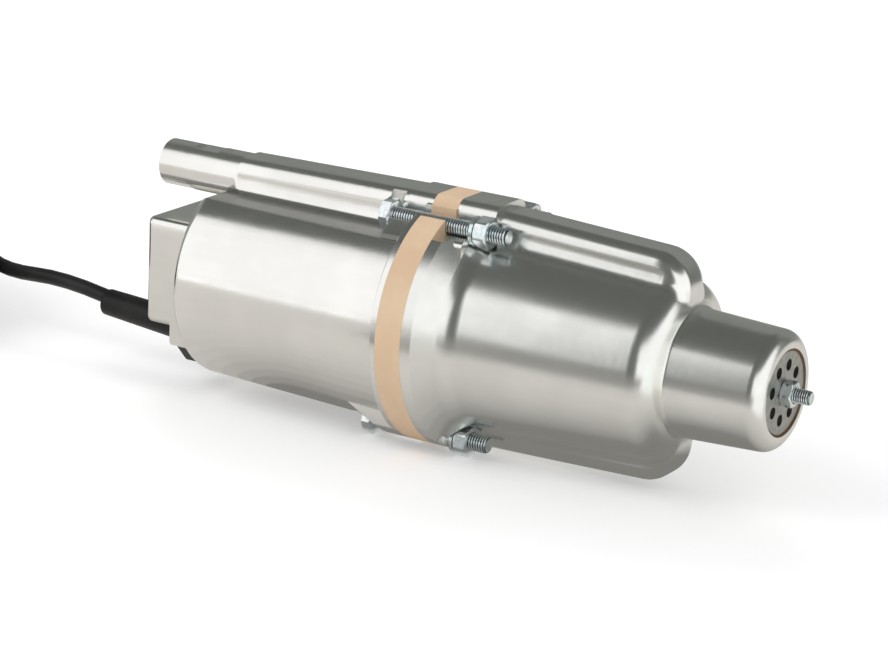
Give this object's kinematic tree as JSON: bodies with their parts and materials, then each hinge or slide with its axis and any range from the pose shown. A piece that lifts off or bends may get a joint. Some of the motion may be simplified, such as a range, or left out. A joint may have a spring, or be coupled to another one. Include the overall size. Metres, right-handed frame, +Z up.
{
  "type": "vibratory submersible pump",
  "caption": "Vibratory submersible water pump with two bolted cast housings, a rubber shock absorber between them, a cast outlet tube and a mains cord with plug.",
  "frame": {"origin": "centre of the pump's bounding box on the surface that its flange lies on, without cord and sleeve", "axes": "+X along the pump's axis to the intake valve, +Z up through the outlet tube, +Y away from the picture's view"},
  "size_m": [0.5031, 0.1216, 0.0888],
  "materials": {
    "cast_aluminium": "as cast, satin",
    "tan_rubber": "matt",
    "zinc_steel": "zinc plated",
    "core_steel": "laminated sheet",
    "bobbin_plastic": "moulded",
    "copper_winding": "enamelled copper wire",
    "epoxy_compound": "cast epoxy",
    "black_rubber": "moulded",
    "hub_steel": "turned",
    "disc_plastic": "moulded",
    "plate_steel": "stamped",
    "brown_rubber": "matt",
    "cord_rubber": "satin",
    "plug_plastic": "moulded",
    "pin_metal": "nickel plated"
  },
  "bodies": {
    "pump": {"magnet_housing": "cast_aluminium", "pump_housing": "cast_aluminium", "shock_absorber": "tan_rubber", "clamp_bolts": "zinc_steel", "clamp_nuts": "zinc_steel", "spring_washers": "zinc_steel", "stator_core": "core_steel", "bobbin_upper": "bobbin_plastic", "bobbin_lower": "bobbin_plastic", "winding_upper": "copper_winding", "winding_lower": "copper_winding", "potting_compound": "epoxy_compound", "diaphragm": "black_rubber", "support_disc": "disc_plastic", "valve_plate": "plate_steel", "plate_seal": "brown_rubber", "valve_bush": "hub_steel", "valve_stop": "zinc_steel", "valve_stud": "zinc_steel", "valve_nut": "zinc_steel", "cable_gland": "black_rubber", "cable_sleeve": "black_rubber", "cord_run": "cord_rubber", "cord_coil": "cord_rubber", "plug_tail": "cord_rubber", "plug_body": "plug_plastic", "plug_pins": "pin_metal"},
    "vibrator": {"armature": "core_steel", "vibrator_rod": "zinc_steel", "adjusting_washers": "zinc_steel", "spacer_sleeve": "hub_steel", "absorber_hub": "hub_steel", "hub_washers": "zinc_steel", "hub_nut": "zinc_steel", "piston": "brown_rubber", "piston_bush": "hub_steel", "piston_washers": "zinc_steel", "piston_nuts": "zinc_steel"},
    "intake_valve_disc": {"intake_valve": "black_rubber"}
  },
  "joints": [
    {"name": "vibrator_slide", "type": "slide", "parent": "pump", "child": "vibrator", "axis": [1, 0, 0], "range_m": [-0.002, 0.002], "stiffness_N_per_m": 5000},
    {"name": "intake_valve_lift", "type": "slide", "parent": "pump", "child": "intake_valve_disc", "axis": [-1, 0, 0], "range_m": [0, 0.0015], "stiffness_N_per_m": 20}
  ]
}
